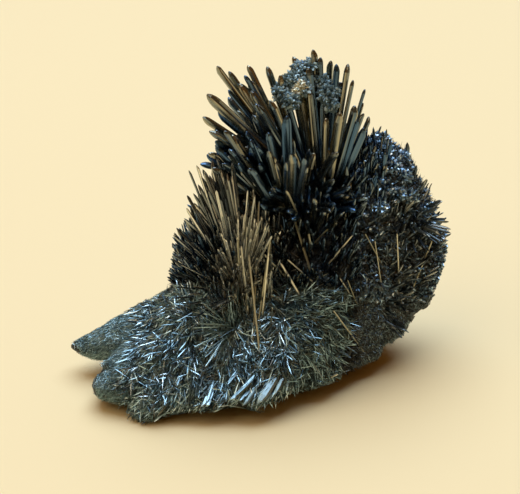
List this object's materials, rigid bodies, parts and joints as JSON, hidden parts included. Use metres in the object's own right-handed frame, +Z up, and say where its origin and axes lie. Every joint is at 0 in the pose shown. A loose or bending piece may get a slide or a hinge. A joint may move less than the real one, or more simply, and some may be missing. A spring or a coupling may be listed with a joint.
{
  "type": "stibnite specimen",
  "caption": "Stibnite specimen: dark metallic prisms and needles radiate from a wedge-shaped lump of felted matrix that rests on a flat base.",
  "frame": {"origin": "on the standing surface, under the middle of the specimen's bounding box", "axes": "+X to the right of someone who looks at the front and along the longest extent, +Y away from them, +Z up"},
  "size_m": [0.0808, 0.0444, 0.0675],
  "materials": {
    "felted_matrix": "dull metallic felt of fine needles",
    "stibnite_prisms": "metallic lustre, striated lengthwise",
    "tarnished_needles": "metallic lustre with a golden-brown tarnish",
    "blue_grey_druse": "sparkling blue-grey druse"
  },
  "bodies": {
    "root": {"matrix": "felted_matrix", "main_crystal_spray": "stibnite_prisms", "left_needle_fan": "tarnished_needles", "right_druse_bank": "blue_grey_druse"}
  },
  "joints": []
}
